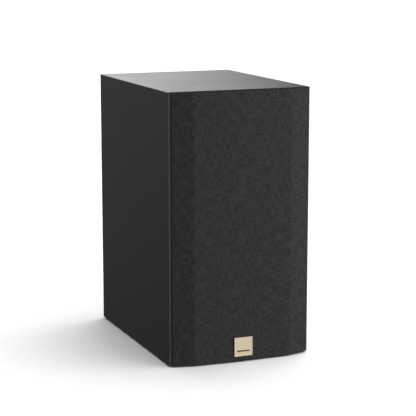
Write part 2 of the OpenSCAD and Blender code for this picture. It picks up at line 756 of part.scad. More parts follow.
// The grille's outline from above, taken in by inset: straight sides, two sloping flanks and a bowed face
function grille_outline(inset) = let (
    side = half_w - grille_side_gap - inset,
    crease = half_w - grille_crease_x - 0.15 * inset,
    rise = grille_bow_d - grille_crease_d,
    face = [for (i = [-bow_steps : bow_steps]) let (t = i / bow_steps)
        [crease * t, front_y + inset - grille_crease_d - rise * (1 - t * t)]]
) concat(
    [[-side, front_y - grille_gap - hem_t], [-side, front_y - grille_edge_d + inset]],
    face,
    [[side, front_y - grille_edge_d + inset], [side, front_y - grille_gap - hem_t]]
);

module grille_block(inset) translate([0, 0, floor_z + grille_level_gap + inset])
    linear_extrude(cabinet_h - 2 * grille_level_gap - 2 * inset) polygon(grille_outline(inset));

window_half_w = half_w - grille_side_gap - rail_w;
crossbar_z = floor_z + 205;
module grille_window(z0, z1) translate([-window_half_w, front_y - 50, z0])
    cube([2 * window_half_w, 100, z1 - z0]);

module grille_frame() color("#1a1a1a") {
    difference() {
        grille_block(cloth_t);
        grille_window(floor_z + bottom_rail_w, crossbar_z - crossbar_w / 2);
        grille_window(crossbar_z + crossbar_w / 2, roof_z - rail_w);
    }
    peg_places() disc(peg_r, -grille_gap - hem_t, peg_len);
}

module grille_cloth() color("#35383a") {
    difference() {
        grille_block(0);
        translate([0, 0, floor_z + grille_level_gap + cloth_t])
            linear_extrude(cabinet_h - 2 * grille_level_gap - 2 * cloth_t)
                polygon(concat(
                    [[-half_w + grille_side_gap + cloth_t, front_y + 5]],
                    grille_outline(cloth_t),
                    [[half_w - grille_side_gap - cloth_t, front_y + 5]]
                ));
    }
    // Hem, folded behind the frame
    difference() {
        translate([-half_w + grille_side_gap, front_y - grille_gap - hem_t, floor_z + grille_level_gap])
            cube([cabinet_w - 2 * grille_side_gap, hem_t, cabinet_h - 2 * grille_level_gap]);
        translate([-half_w + grille_side_gap + hem_w, front_y - 5, floor_z + grille_level_gap + hem_w])
            cube([
                cabinet_w - 2 * grille_side_gap - 2 * hem_w, 10,
                cabinet_h - 2 * grille_level_gap - 2 * hem_w
            ]);
        peg_places() disc(peg_r, -5, 5);
    }
}

module badge() color("#cbbd9c")
    translate([-badge_side / 2, front_y - grille_proud, badge_z - badge_side / 2])
    cube([badge_side, badge_t, badge_side]);

// ---------------------------------------------------------------- nodes

baffle();
side_panel_left();
side_panel_right();
top_panel();
bottom_panel();
rear_panel();
shelf_brace();
damping_pads();
rubber_feet();
grille_sockets();
port_tube();
woofer_basket();
woofer_mounting_gasket();
woofer_trim_ring();
woofer_screws();
woofer_top_plate();
woofer_magnet();
woofer_yoke();
woofer_cone();
woofer_dust_cap();
woofer_coil_former();
woofer_voice_coil();
woofer_surround();
woofer_spider();
woofer_tinsel_leads();
tweeter_faceplate();
tweeter_gasket();
tweeter_screws();
tweeter_top_plate();
tweeter_magnet();
tweeter_yoke();
tweeter_rear_chamber();
tweeter_dome();
tweeter_surround();
tweeter_voice_coil();
driver_terminals();
terminal_cup();
terminal_gasket();
terminal_screws();
post_positive();
post_negative();
collar_positive();
collar_negative();
post_nuts();
clamp_washer_positive();
clamp_washer_negative();
knob_positive();
knob_negative();
crossover_board();
crossover_fixings();
woofer_inductor_core();
woofer_inductor_winding();
tweeter_inductor();
capacitors();
resistors();
wiring_positive();
wiring_negative();
grille_frame();
grille_cloth();
badge();
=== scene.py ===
"""The looks of a two-way bookshelf speaker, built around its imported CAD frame. All sizes are in metres."""
import json
import math

import bmesh
import bpy
import numpy as np
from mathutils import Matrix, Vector, noise


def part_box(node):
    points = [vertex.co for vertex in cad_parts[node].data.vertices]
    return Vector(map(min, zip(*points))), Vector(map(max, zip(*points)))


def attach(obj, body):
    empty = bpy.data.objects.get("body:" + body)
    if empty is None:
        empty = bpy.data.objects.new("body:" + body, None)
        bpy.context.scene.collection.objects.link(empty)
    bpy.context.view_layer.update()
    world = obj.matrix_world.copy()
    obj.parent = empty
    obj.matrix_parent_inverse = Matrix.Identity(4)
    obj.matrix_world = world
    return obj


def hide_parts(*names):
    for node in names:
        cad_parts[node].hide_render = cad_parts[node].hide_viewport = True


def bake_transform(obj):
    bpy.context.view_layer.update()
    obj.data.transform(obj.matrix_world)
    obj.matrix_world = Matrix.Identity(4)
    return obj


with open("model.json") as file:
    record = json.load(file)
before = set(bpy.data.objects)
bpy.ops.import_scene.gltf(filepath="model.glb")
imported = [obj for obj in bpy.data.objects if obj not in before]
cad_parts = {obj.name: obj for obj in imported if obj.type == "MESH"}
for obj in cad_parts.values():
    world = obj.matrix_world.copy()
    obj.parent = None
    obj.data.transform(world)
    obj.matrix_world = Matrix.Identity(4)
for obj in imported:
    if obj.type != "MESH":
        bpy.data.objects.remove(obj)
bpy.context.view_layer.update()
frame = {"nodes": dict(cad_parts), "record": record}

NODES = frame["nodes"]
MM = 0.001


# ------------------------------------------------------------------ places, from the frame

def middle(node):
    low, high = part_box(node)
    return (low + high) / 2


BAFFLE_LOW, BAFFLE_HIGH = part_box("baffle")
FACE_Y = BAFFLE_LOW.y
CABINET_HALF_W = BAFFLE_HIGH.x
WOOFER_AXIS = middle("woofer_trim_ring")
TWEETER_AXIS = middle("tweeter_faceplate")


# ------------------------------------------------------------------ materials

class Look:
    """One node-based material. Most calls add a node and give back its output."""

    def __init__(self, name, colour, roughness, **sockets):
        self.material = bpy.data.materials.new(name)
        self.material.use_nodes = True
        self.nodes = self.material.node_tree.nodes
        self.shader = self.nodes["Principled BSDF"]
        self.shader.inputs["Base Color"].default_value = (*colour, 1)
        self.shader.inputs["Roughness"].default_value = roughness
        for socket, value in sockets.items():
            self.shader.inputs[socket.replace("_", " ")].default_value = value

    def link(self, output, target):
        self.material.node_tree.links.new(output, target)

    def feed(self, socket, value):
        """Links an output to a socket, or sets the socket to a plain value."""
        if hasattr(value, "is_output"):
            self.link(value, socket)
        else:
            socket.default_value = value

    def add(self, kind, output, **values):
        """A node of a kind. Each value goes to the socket of its name, or to the node's own setting."""
        node = self.nodes.new("ShaderNode" + kind)
        for name, value in values.items():
            socket = node.inputs.get(name.replace("_", " "))
            if socket:
                self.feed(socket, value)
            else:
                setattr(node, name, value)
        return node.outputs[output]

    def place(self):
        """A point of the piece, in metres."""
        return self.add("TexCoord", "Object")

    def scaled(self, source, scale):
        node = self.nodes.new("ShaderNodeVectorMath")
        node.operation = "MULTIPLY"
        self.link(source, node.inputs[0])
        node.inputs[1].default_value = scale
        return node.outputs[0]

    def math(self, operation, a, b=0.0):
        node = self.nodes.new("ShaderNodeMath")
        node.operation = operation
        self.feed(node.inputs[0], a)
        self.feed(node.inputs[1], b)
        return node.outputs[0]

    def axis(self, vector, letter):
        return self.add("SeparateXYZ", letter, Vector=vector)

    def noise(self, place, scale, detail=3.0, roughness=0.55):
        return self.add("TexNoise", "Fac", Vector=place, Scale=scale, Detail=detail, Roughness=roughness)

    def spread(self, value, low, high, start=0.3, end=0.7):
        """Carries value from the range start..end to low..high."""
        node = self.nodes.new("ShaderNodeMapRange")
        self.link(value, node.inputs["Value"])
        for name, number in (("From Min", start), ("From Max", end), ("To Min", low), ("To Max", high)):
            node.inputs[name].default_value = number
        return node.outputs["Result"]

    def mix(self, factor, a, b):
        """A colour from a, where factor is 0, to b, where it is 1."""
        node = self.nodes.new("ShaderNodeMix")
        node.data_type = "RGBA"
        self.link(factor, node.inputs["Factor"])
        for value, socket in ((a, node.inputs[6]), (b, node.inputs[7])):
            self.feed(socket, value if hasattr(value, "is_output") else (*value, 1))
        return node.outputs[2]

    def colour(self, output):
        self.link(output, self.shader.inputs["Base Color"])

    def roughness(self, output):
        self.link(output, self.shader.inputs["Roughness"])

    def bump(self, height, depth):
        """Raises the surface by height times depth, in metres."""
        normal = self.add("Bump", "Normal", Height=height, Distance=depth, Strength=1.0)
        self.link(normal, self.shader.inputs["Normal"])


def shaded(colour, times):
    """A colour made darker or lighter."""
    return tuple(min(1, c * times) for c in colour)


def grained(name, colour, roughness, pitch, depth, vary=0.15, **sockets):
    """Moulded or painted: a fine grain, and slow changes of colour and gloss."""
    look = Look(name, colour, roughness, **sockets)
    place = look.place()
    slow = look.noise(place, 14.0, 4.0)  # patches about 70 mm across
    fine = look.noise(place, 1 / pitch, 2.0)
    look.colour(look.mix(look.spread(slow, 0, 1), shaded(colour, 1 - vary), shaded(colour, 1 + vary)))
    look.roughness(look.spread(fine, roughness - 0.06, roughness + 0.06))
    look.bump(fine, depth)
    return look.material


SKIN = 0.1 * MM  # how near a face lies to the room's side to count as part of it
ROOM_LOW, ROOM_HIGH = (corner.copy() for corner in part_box("shelf_brace"))
ROOM_LOW.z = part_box("bottom_panel")[1].z
ROOM_HIGH.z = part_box("top_panel")[0].z
FIBREBOARD = (0.36, 0.24, 0.14)


def in_the_room(look):
    """1 on the faces that look into the cabinet, which are left as raw board, and 0 on the rest."""
    inside = 1.0
    place = look.place()
    for letter, low, high in zip("XYZ", ROOM_LOW, ROOM_HIGH):
        at = look.axis(place, letter)
        inside = look.math("MULTIPLY", look.math("GREATER_THAN", at, low - SKIN), inside)
        inside = look.math("MULTIPLY", look.math("LESS_THAN", at, high + SKIN), inside)
    return inside


def satin_foil(name, colour, roughness):
    """Board under black foil: satin, with a very slight orange peel, and bare board on the inside."""
    look = Look(name, colour, roughness)
    place = look.place()
    peel = look.noise(place, 420.0, 3.0)
    smudge = look.noise(place, 7.0, 5.0)
    bare = in_the_room(look)
    chips = look.noise(place, 500.0, 6.0, 0.7)
    board = look.mix(look.spread(chips, 0, 1), shaded(FIBREBOARD, 0.8), shaded(FIBREBOARD, 1.2))
    foil = look.mix(look.spread(smudge, 0, 1), shaded(colour, 0.92), shaded(colour, 1.08))
    look.colour(look.mix(bare, foil, board))
    satin = look.spread(smudge, roughness - 0.03, roughness + 0.03)
    look.roughness(look.math("MAXIMUM", satin, look.math("MULTIPLY", bare, 0.85)))
    look.bump(peel, 0.006 * MM)
    return look.material


WEAVE_PITCH = 0.8 * MM
SLUB_W = 0.65 * MM
SLUB_LEN = 11 * MM
YARN_DARK = (0.010, 0.011, 0.011)
YARN_MEAN = (0.03, 0.032, 0.032)
YARN_LIGHT = (0.054, 0.057, 0.056)
YARN_BUMP = 0.12 * MM


def melange_cloth(name):
    """A plain weave of dark grey slub yarn, whose threads differ in shade along and across."""
    look = Look(name, YARN_MEAN, 0.95, Specular_IOR_Level=0.1)
    flat = look.add("Attribute", "Vector", attribute_name="flat")
    warp = look.noise(look.scaled(flat, (1 / SLUB_W, 1 / SLUB_LEN, 1)), 1.0, 1.0, 0.5)
    weft = look.noise(look.scaled(flat, (1 / SLUB_LEN, 1 / SLUB_W, 1)), 1.0, 1.0, 0.5)
    turn = math.pi / WEAVE_PITCH
    along = look.math("SINE", look.math("MULTIPLY", look.axis(flat, "X"), turn))
    across = look.math("SINE", look.math("MULTIPLY", look.axis(flat, "Y"), turn))
    over = look.math("MULTIPLY", along, across)
    threads = look.math("ADD", look.math("MULTIPLY", warp, 0.5), look.math("MULTIPLY", weft, 0.5))
    thread = look.math("ADD", threads, look.math("MULTIPLY", over, 0.03))
    shade = look.spread(thread, 0, 1, 0.33, 0.67)
    look.colour(look.mix(shade, YARN_DARK, YARN_LIGHT))
    height = look.math("ADD", look.math("ABSOLUTE", over), look.math("MULTIPLY", thread, 0.8))
    look.bump(height, YARN_BUMP)
    return look.material


def brushed_metal(name, colour, roughness, direction, metallic=1.0):
    """Metal with a fine grain, which a large number in direction packs into streaks across that axis."""
    look = Look(name, colour, roughness, Metallic=metallic)
    place = look.scaled(look.place(), direction)
    streak = look.noise(place, 160.0, 5.0, 0.6)
    look.colour(look.mix(look.spread(streak, 0, 1), shaded(colour, 0.88), shaded(colour, 1.08)))
    look.roughness(look.spread(streak, roughness - 0.08, roughness + 0.1))
    look.bump(streak, 0.01 * MM)
    return look.material


def wound_copper(name, letter, pitch):
    """Enamelled wire laid side by side along one axis."""
    look = Look(name, (0.55, 0.22, 0.08), 0.32, Metallic=0.85, Coat_Weight=0.5, Coat_Roughness=0.15)
    place = look.place()
    turn = look.math("SINE", look.math("MULTIPLY", look.axis(place, letter), 2 * math.pi / pitch))
    stain = look.noise(place, 60.0, 3.0)
    look.colour(look.mix(look.spread(stain, 0, 1), (0.42, 0.15, 0.05), (0.66, 0.30, 0.12)))
    look.bump(turn, 0.25 * pitch)
    return look.material


def pressed_fibre(name):
    """The cone's black paper pulp, with lighter fibres lying in it."""
    look = Look(name, (0.012, 0.012, 0.012), 0.62)
    place = look.place()
    fibre = look.add(
        "TexNoise", "Fac", Vector=place, Scale=900.0, Detail=6.0, Roughness=0.7, Distortion=2.5
    )
    fleck = look.spread(fibre, 0, 1, 0.62, 0.72)
    look.colour(look.mix(fleck, (0.010, 0.010, 0.010), (0.045, 0.042, 0.038)))
    look.roughness(look.spread(fibre, 0.5, 0.75))
    look.bump(fibre, 0.08 * MM)
    return look.material


def mottled(name, colour, roughness, scale, contrast, depth, **sockets):
    """Spotted all over, with scale spots to the metre and a roughness that follows them."""
    look = Look(name, colour, roughness, **sockets)
    spots = look.noise(look.place(), scale, 6.0, 0.7)
    darker, lighter = shaded(colour, 1 - contrast), shaded(colour, 1 + contrast)
    look.colour(look.mix(look.spread(spots, 0, 1), darker, lighter))
    look.roughness(look.spread(spots, roughness - 0.05, roughness + 0.05))
    look.bump(spots, depth)
    return look.material


def circuit_board(name):
    """Green lacquer over square-cornered copper areas."""
    look = Look(name, (0.02, 0.09, 0.035), 0.35, Coat_Weight=0.4)
    place = look.scaled(look.place(), (1, 1, 0))
    cells = look.add("TexVoronoi", "Distance", Vector=place, Scale=90.0, distance="CHEBYCHEV", feature="F1")
    track = look.spread(cells, 1, 0, 0.30, 0.34)
    look.colour(look.mix(track, (0.012, 0.05, 0.02), (0.03, 0.14, 0.05)))
    look.bump(track, 0.03 * MM)
    return look.material


def woven(name, colour, pitch, depth, roughness=0.8, axes=("X", "Z"), **sockets):
    """A plain weave read straight from two of the piece's axes."""
    look = Look(name, colour, roughness, **sockets)
    place = look.place()
    turn = math.pi / pitch
    waves = [look.math("SINE", look.math("MULTIPLY", look.axis(place, a), turn)) for a in axes]
    over = look.math("MULTIPLY", *waves)
    stain = look.noise(place, 300.0, 3.0)
    look.colour(look.mix(look.spread(stain, 0, 1), shaded(colour, 0.7), shaded(colour, 1.3)))
    look.bump(over, depth)
    return look.material


def knob_plastic(name, colour):
    """Glossy moulded plastic."""
    return grained(name, colour, 0.28, 0.8 * MM, 0.004 * MM, Coat_Weight=0.4)


LOOKS = {
    "cabinet_wrap": satin_foil("cabinet_wrap", (0.014, 0.014, 0.0145), 0.36),
    "baffle_lacquer": satin_foil("baffle_lacquer", (0.014, 0.014, 0.0145), 0.36),
    "rear_wrap": satin_foil("rear_wrap", (0.013, 0.013, 0.0135), 0.5),
    "raw_fibreboard": mottled("raw_fibreboard", FIBREBOARD, 0.85, 500.0, 0.25, 0.06 * MM),
    "wadding": mottled("wadding", (0.72, 0.72, 0.69), 0.95, 700.0, 0.12, 0.5 * MM, Sheen_Weight=0.4),
    "foot_rubber": grained("foot_rubber", (0.014, 0.014, 0.014), 0.75, 0.4 * MM, 0.02 * MM),
    "port_plastic": grained("port_plastic", (0.013, 0.013, 0.0135), 0.5, 0.5 * MM, 0.02 * MM),
    "basket_enamel": grained("basket_enamel", (0.022, 0.022, 0.023), 0.45, 0.6 * MM, 0.03 * MM),
    "gasket_foam": grained("gasket_foam", (0.03, 0.03, 0.03), 0.9, 0.3 * MM, 0.08 * MM),
    "trim_plastic": grained("trim_plastic", (0.015, 0.015, 0.0155), 0.42, 0.5 * MM, 0.015 * MM),
    "black_screw": grained("black_screw", (0.03, 0.03, 0.03), 0.35, 0.3 * MM, 0.01 * MM, Metallic=0.8),
    "motor_steel": brushed_metal("motor_steel", (0.50, 0.50, 0.48), 0.35, (1, 1, 1)),
    "ferrite": mottled("ferrite", (0.055, 0.055, 0.06), 0.6, 350.0, 0.25, 0.03 * MM),
    "cone_fibre": pressed_fibre("cone_fibre"),
    "former_film": grained("former_film", (0.5, 0.3, 0.07), 0.25, 2 * MM, 0.005 * MM, Coat_Weight=0.6),
    "copper_wire": wound_copper("copper_wire", "Y", 0.5 * MM),
    "surround_rubber": grained("surround_rubber", (0.012, 0.012, 0.012), 0.45, 0.35 * MM, 0.006 * MM),
    "spider_cloth": woven("spider_cloth", (0.42, 0.29, 0.11), 0.5 * MM, 0.05 * MM),
    "dome_silk": woven("dome_silk", (0.016, 0.016, 0.018), 0.25 * MM, 0.02 * MM, 0.5, Sheen_Weight=0.3),
    "chamber_plastic": grained("chamber_plastic", (0.02, 0.02, 0.02), 0.5, 0.6 * MM, 0.02 * MM),
    "tinned_brass": mottled("tinned_brass", (0.66, 0.62, 0.52), 0.35, 500.0, 0.1, 0.01 * MM, Metallic=1.0),
    "gilt_brass": brushed_metal("gilt_brass", (0.80, 0.56, 0.22), 0.22, (1, 1, 1)),
    "red_plastic": knob_plastic("red_plastic", (0.36, 0.012, 0.012)),
    "black_plastic": knob_plastic("black_plastic", (0.012, 0.012, 0.012)),
    "circuit_board": circuit_board("circuit_board"),
    "fixing_zinc": mottled("fixing_zinc", (0.62, 0.62, 0.60), 0.35, 600.0, 0.12, 0.01 * MM, Metallic=1.0),
    "capacitor_film": grained(
        "capacitor_film", (0.55, 0.42, 0.05), 0.3, 1.5 * MM, 0.01 * MM, Coat_Weight=0.3
    ),
    "resistor_cement": mottled("resistor_cement", (0.76, 0.74, 0.68), 0.85, 900.0, 0.08, 0.05 * MM),
    "red_insulation": grained("red_insulation", (0.35, 0.015, 0.015), 0.5, 0.6 * MM, 0.01 * MM),
    "black_insulation": grained("black_insulation", (0.014, 0.014, 0.014), 0.5, 0.6 * MM, 0.01 * MM),
    "grille_plastic": grained("grille_plastic", (0.014, 0.014, 0.014), 0.5, 0.6 * MM, 0.02 * MM),
    "grille_cloth": melange_cloth("grille_cloth"),
    "badge_metal": brushed_metal("badge_metal", (0.86, 0.73, 0.52), 0.42, (1, 1, 30), 0.4),
}


def dress(obj, slot):
    """Gives a piece its finish, by the name of the record's material slot."""
    obj.data.materials.clear()
    obj.data.materials.append(LOOKS[slot])


SLOT_OF = {part["node"]: part["material_slot"] for part in frame["record"]["subparts"]}
for node, slot in SLOT_OF.items():
    dress(NODES[node], slot)


# ------------------------------------------------------------------ mesh helpers

def piece(name, slot, mesh, body=None, smooth=True):
    """A new piece with the finish of a record slot, riding on a body where one is given."""
    obj = bpy.data.objects.new(name, mesh)
    bpy.context.scene.collection.objects.link(obj)
    for polygon in mesh.polygons:
        polygon.use_smooth = smooth
    mesh.materials.append(LOOKS[slot])
    if body:
        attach(obj, body)
    return obj


def finished(bm, name):
    """The mesh of a bmesh, with its faces turned outwards."""
    bmesh.ops.recalc_face_normals(bm, faces=bm.faces)
    mesh = bpy.data.meshes.new(name)
    bm.to_mesh(mesh)
    bm.free()
    return mesh


def ribbon(points, thickness):
    """The outline of a thin section, thickness across, that runs along points."""
    points = [Vector(p) for p in points]
    near, far = [], []
    for i, point in enumerate(points):
        along = (points[min(i + 1, len(points) - 1)] - points[max(i - 1, 0)]).normalized()
        across = Vector((-along.y, along.x)) * thickness / 2
        near.append(point + across)
        far.append(point - across)
    return near + far[::-1]


def lathe(name, axis, outline, segments=160):
    """Turns a closed outline of (radius, depth into the cabinet) about a driver's axis."""
    bm = bmesh.new()
    rings = []
    for k in range(segments):
        turn = 2 * math.pi * k / segments
        rings.append([
            bm.verts.new((axis.x + r * math.cos(turn), FACE_Y + depth, axis.z + r * math.sin(turn)))
            for r, depth in outline
        ])
    for ring, following in zip(rings, rings[1:] + rings[:1]):
        for i in range(len(outline)):
            j = (i + 1) % len(outline)
            bm.faces.new((ring[i], ring[j], following[j], following[i]))
    return finished(bm, name)


def blend_radially(obj, axis):
    """Finds each vertex's distance from a driver's axis, bakes the ring's transform, and puts every vertex
    back where it was.
    """
    kept = [v.co.copy() for v in obj.data.vertices]
    for v in obj.data.vertices:
        v.co = (math.hypot(v.co.x - axis.x, v.co.z - axis.z), 0, 0)
    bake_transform(obj)
    for v, place in zip(obj.data.vertices, kept):
        v.co = place


def tube(bm, points, radius, sides=10, steps=10):
    """A round lead along a smooth curve through points."""
    path = []
    for i in range(len(points) - 1):
        p0, p1, p2, p3 = (Vector(points[max(0, min(len(points) - 1, i + k))]) for k in (-1, 0, 1, 2))
        for step in range(steps):
            t = step / steps
            path.append(0.5 * (
                2 * p1 + (p2 - p0) * t + (2 * p0 - 5 * p1 + 4 * p2 - p3) * t ** 2
                + (3 * p1 - p0 - 3 * p2 + p3) * t ** 3
            ))
    path.append(Vector(points[-1]))
    across = Vector((1, 0, 0))
    rings = []
    for i, point in enumerate(path):
        along = (path[min(i + 1, len(path) - 1)] - path[max(i - 1, 0)]).normalized()
        across = (across - along * across.dot(along)).normalized()
        other = along.cross(across)
        turns = [2 * math.pi * k / sides for k in range(sides)]
        rings.append([
            bm.verts.new(point + radius * (math.cos(turn) * across + math.sin(turn) * other))
            for turn in turns
        ])
    for ring, following in zip(rings, rings[1:]):
        for i in range(sides):
            j = (i + 1) % sides
            bm.faces.new((ring[i], ring[j], following[j], following[i]))
    bm.faces.new(rings[0])
    bm.faces.new(rings[-1])


# ------------------------------------------------------------------ the grille's cloth

GRILLE_HALF_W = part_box("grille_cloth")[1].x
GRILLE_LOW_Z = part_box("grille_cloth")[0].z
GRILLE_HIGH_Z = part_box("grille_cloth")[1].z
GRILLE_BACK_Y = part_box("grille_cloth")[1].y
EDGE_DEPTH = 3 * MM
CREASE_DEPTH = 10 * MM
BOW_DEPTH = 12 * MM
CREASE_X = CABINET_HALF_W - 30.5 * MM
CREASE_SOFTNESS = 2 * MM
CLOTH_T = 0.6 * MM
CLOTH_EDGE_R = 1.3 * MM
HEM_W = 9 * MM
FOLD_ANGLE = math.radians(40)
SAME_PLACE = 0.01 * MM
CREASE_SAMPLES = 5
PROFILE_POINTS = 400
MOSTLY = 0.7  # how far a normal points along an axis before its face counts as facing that way


def sharp_depth(x):
    """How far the cloth stands in front of the baffle at x, with hard creases."""
    if abs(x) < CREASE_X:
        return BOW_DEPTH - (BOW_DEPTH - CREASE_DEPTH) * (x / CREASE_X) ** 2
    share = (abs(x) - CREASE_X) / (GRILLE_HALF_W - CREASE_X)
    return CREASE_DEPTH + (EDGE_DEPTH - CREASE_DEPTH) * min(share, 1)


def cloth_depth(x):
    """The same, with the creases rounded by the stretched cloth."""
    reach = min(CREASE_SOFTNESS, GRILLE_HALF_W - abs(x))
    steps = range(-CREASE_SAMPLES, CREASE_SAMPLES + 1)
    return sum(sharp_depth(x + reach * k / CREASE_SAMPLES) for k in steps) / len(steps)


# The front's profile across the grille, and the length of cloth up to each place on it
PROFILE_X = np.linspace(-GRILLE_HALF_W, GRILLE_HALF_W, PROFILE_POINTS)
PROFILE_Y = np.array([cloth_depth(x) for x in PROFILE_X])
PROFILE_LENGTH = np.concatenate([[0], np.cumsum(np.hypot(np.diff(PROFILE_X), np.diff(PROFILE_Y)))])


def cloth_columns():
    """Places across the grille, closer together at its edges and creases."""
    half = list(np.linspace(0, CREASE_X - CREASE_SOFTNESS * 1.2, 14))
    half += list(np.linspace(CREASE_X - CREASE_SOFTNESS, CREASE_X + CREASE_SOFTNESS, 11))
    half += list(np.linspace(CREASE_X + CREASE_SOFTNESS * 1.4, GRILLE_HALF_W, 7))
    return [-x for x in reversed(half[1:])] + half


def cloth_shell():
    """The mesh of the five-sided stretched cloth, with its hem folded flat behind the frame."""
    columns = cloth_columns()
    front = [(x, FACE_Y - cloth_depth(x)) for x in columns]
    bm = bmesh.new()
    rows = []
    for z in (GRILLE_LOW_Z, GRILLE_HIGH_Z):
        face_row = [bm.verts.new((x, y, z)) for x, y in front]
        back_row = [bm.verts.new((x, GRILLE_BACK_Y, z)) for x, y in front]
        rows.append((face_row, back_row))
    (low_face, low_back), (high_face, high_back) = rows
    for i in range(len(columns) - 1):
        bm.faces.new((low_face[i], low_face[i + 1], high_face[i + 1], high_face[i]))
        bm.faces.new((high_face[i], high_face[i + 1], high_back[i + 1], high_back[i]))
        bm.faces.new((low_back[i], low_back[i + 1], low_face[i + 1], low_face[i]))
    bm.faces.new((low_back[0], low_face[0], high_face[0], high_back[0]))
    bm.faces.new((low_face[-1], low_back[-1], high_back[-1], high_face[-1]))
    loop = low_back + high_back[::-1]
    hem = []
    for vertex in loop:
        x = max(-GRILLE_HALF_W + HEM_W, min(GRILLE_HALF_W - HEM_W, vertex.co.x))
        z = GRILLE_LOW_Z + HEM_W if vertex.co.z < GRILLE_LOW_Z + HEM_W else GRILLE_HIGH_Z - HEM_W
        hem.append(bm.verts.new((x, GRILLE_BACK_Y, z)))
    for i in range(len(loop)):
        j = (i + 1) % len(loop)
        bm.faces.new((loop[j], loop[i], hem[i], hem[j]))
    bmesh.ops.remove_doubles(bm, verts=hem, dist=SAME_PLACE)
    bm.edges.ensure_lookup_table()
    bm.normal_update()
    folds = [e for e in bm.edges if len(e.link_faces) == 2 and e.calc_face_angle() > FOLD_ANGLE]
    bmesh.ops.bevel(
        bm, geom=folds, offset=CLOTH_EDGE_R, segments=4, profile=0.5, affect="EDGES", clamp_overlap=True
    )
    mesh = bpy.data.meshes.new("grille_cloth_skin")
    bm.to_mesh(mesh)
    bm.free()
    return mesh


def write_flat(mesh):
    """Writes each corner's place on the flat cloth, before it was stretched, for the weave."""
    flat = mesh.attributes.new("flat", "FLOAT_VECTOR", "CORNER")
    places = np.zeros((len(mesh.loops), 3), np.float32)
    for polygon in mesh.polygons:
        normal = polygon.normal
        for corner in polygon.loop_indices:
            co = mesh.vertices[mesh.loops[corner].vertex_index].co
            u = np.interp(co.x, PROFILE_X, PROFILE_LENGTH)
            v = co.z
            depth = co.y - (FACE_Y - cloth_depth(max(-GRILLE_HALF_W, min(GRILLE_HALF_W, co.x))))
            if abs(normal.z) > MOSTLY:
                v += math.copysign(depth, normal.z)
            elif abs(normal.x) > MOSTLY:
                u += math.copysign(depth, normal.x)
            places[corner] = (u, v, 0)
    flat.data.foreach_set("vector", places.ravel())


def grille_cloth():
    """One sheet, cut to the front's width and height and what wraps round each edge to the hem."""
    mesh = cloth_shell()
    write_flat(mesh)
    cloth = piece("grille_cloth_skin", "grille_cloth", mesh, "grille")
    thick = cloth.modifiers.new("thickness", "SOLIDIFY")
    thick.thickness = CLOTH_T
    thick.offset = -1
    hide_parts("grille_cloth")


grille_cloth()


# ------------------------------------------------------------------ the badge

BADGE_EDGE_R = 0.35 * MM
BADGE_BORDER = 1.1 * MM
BADGE_RECESS = 0.15 * MM
BAR_W = 18 * MM
BAR_H = 1.8 * MM
BAR_UP = 6.0 * MM
BAR_FRONT = 0.4 * BADGE_RECESS
BAR_BACK = 0.5 * MM
BAR_EDGE_R = 0.1 * MM


def box_mesh(bm, low, high):
    """Adds a box between two corners."""
    for v in bmesh.ops.create_cube(bm, size=1)["verts"]:
        v.co = Vector(low) + (v.co + Vector((0.5, 0.5, 0.5))) * (Vector(high) - Vector(low))


def badge():
    """A satin plate with a rounded rim round a slightly sunken field."""
    low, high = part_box("badge")
    bm = bmesh.new()
    box_mesh(bm, low, high)
    bmesh.ops.bevel(bm, geom=list(bm.edges), offset=BADGE_EDGE_R, segments=3, profile=0.5, affect="EDGES")
    front = max(bm.faces, key=lambda f: (-f.calc_center_median().y, f.calc_area()))
    bmesh.ops.inset_region(bm, faces=[front], thickness=BADGE_BORDER)
    bmesh.ops.inset_region(bm, faces=[front], thickness=BADGE_RECESS, depth=-BADGE_RECESS)
    plate = piece("badge_plate", "badge_metal", finished(bm, "badge_plate"), "grille", smooth=False)
    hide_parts("badge")


def badge_bar():
    """A plain dark bar low on the badge, in place of lettering."""
    low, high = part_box("badge")
    x = (low.x + high.x) / 2
    z = low.z + BAR_UP
    bm = bmesh.new()
    box_mesh(bm, (x - BAR_W / 2, low.y + BAR_FRONT, z), (x + BAR_W / 2, low.y + BAR_BACK, z + BAR_H))
    bmesh.ops.bevel(bm, geom=list(bm.edges), offset=BAR_EDGE_R, segments=2, profile=0.5, affect="EDGES")
    piece("badge_bar", "trim_plastic", finished(bm, "badge_bar"), "grille")


badge()
badge_bar()


# ------------------------------------------------------------------ flexing parts of the woofer

ROLL_MID_R = 64 * MM
ROLL_R = 5.2 * MM
RUBBER_T = 0.6 * MM
LIP_DEPTH = 2.4 * MM
LIP_INNER_R = 57.4 * MM
LIP_OUTER_R = 71.3 * MM
ROLL_FOOT = 0.5 * MM


def half_roll(mid_r, roll_r, depth, points):
    """Points of (radius, depth) over a half circle that bulges forwards from depth."""
    return [
        (mid_r - roll_r * math.cos(a), depth - roll_r * math.sin(a))
        for a in np.linspace(0, math.pi, points)
    ]


def woofer_surround():
    """A rubber half roll with flat lips."""
    line = [(LIP_INNER_R, LIP_DEPTH), (ROLL_MID_R - ROLL_R - ROLL_FOOT, LIP_DEPTH)]
    line += half_roll(ROLL_MID_R, ROLL_R, LIP_DEPTH, 25)
    line += [(ROLL_MID_R + ROLL_R + ROLL_FOOT, LIP_DEPTH), (LIP_OUTER_R, LIP_DEPTH)]
    mesh = lathe("woofer_surround_roll", WOOFER_AXIS, ribbon(line, RUBBER_T))
    obj = piece("woofer_surround_roll", SLOT_OF["woofer_surround"], mesh)
    blend_radially(obj, WOOFER_AXIS)
    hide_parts("woofer_surround")


SPIDER_INNER_R = 16.4 * MM
SPIDER_OUTER_R = 44 * MM
SPIDER_DEPTH = 36.25 * MM
SPIDER_T = 0.5 * MM
SPIDER_WAVES = 6
SPIDER_WAVE_H = 2.2 * MM
SPIDER_INNER_FLAT = 2 * MM
SPIDER_OUTER_FLAT = 3 * MM
POINTS_PER_WAVE = 12


